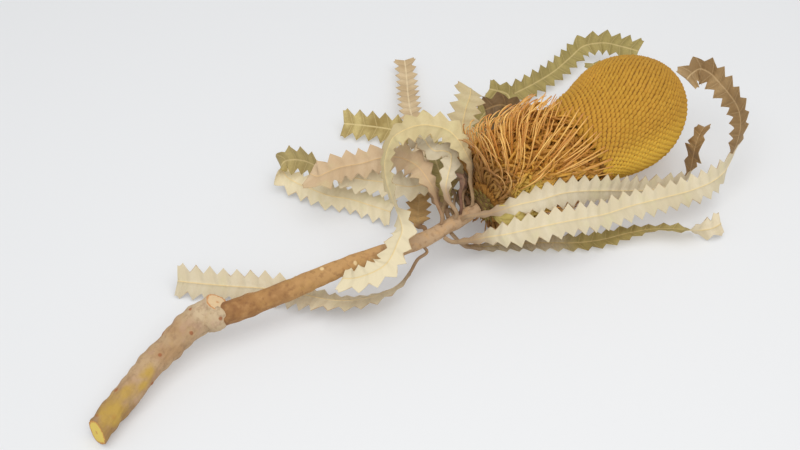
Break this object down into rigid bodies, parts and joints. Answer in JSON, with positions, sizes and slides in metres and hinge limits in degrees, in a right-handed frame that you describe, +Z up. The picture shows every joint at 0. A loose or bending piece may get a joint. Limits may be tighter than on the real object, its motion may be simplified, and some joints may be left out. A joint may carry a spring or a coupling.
{
  "type": "banksia cone on a leafy cut stem",
  "caption": "Dried banksia cone with packed closed buds, open wiry florets and saw-toothed leaves, on a cut woody stem lying flat.",
  "frame": {"origin": "middle of the bounding box's base, on the surface that the sprig lies on", "axes": "+X along the sprig from the stem's cut end towards the cone's tip, +Y to the left of it, +Z up"},
  "size_m": [0.4102, 0.2351, 0.0677],
  "materials": {
    "bark": "dry bark with yellow lichen and pale leaf scars",
    "buds": "matt mustard-gold knit of closed buds",
    "florets": "glossy orange-tan wiry styles over a dark brown core",
    "bracts": "matt olive-yellow",
    "felted_leaf": "pale cream felt with a yellowish midrib, olive-brown on the other side",
    "olive_leaf": "dry olive-brown with a pale midrib, cream felt on the other side",
    "pink_leaf": "pinkish-tan felt",
    "dark_leaf": "dark olive-brown",
    "purple_leaf": "purple-brown"
  },
  "bodies": {
    "root": {"branch": "bark", "closed_buds": "buds", "open_florets": "florets", "basal_bracts": "bracts", "leaf_front_long": "felted_leaf", "leaf_front_upper": "felted_leaf", "leaf_front_low": "olive_leaf", "leaf_loop": "felted_leaf", "leaf_stem_side": "felted_leaf", "leaf_pink": "pink_leaf", "leaf_curled": "felted_leaf", "leaf_back_left": "olive_leaf", "leaf_upright": "olive_leaf", "leaf_folded": "dark_leaf", "leaf_centre": "felted_leaf", "leaf_behind": "felted_leaf", "leaf_top_long": "olive_leaf", "leaf_top_short": "olive_leaf", "leaf_dark": "dark_leaf", "leaf_olive": "olive_leaf", "leaf_hub": "olive_leaf", "leaf_small": "purple_leaf"}
  },
  "joints": []
}
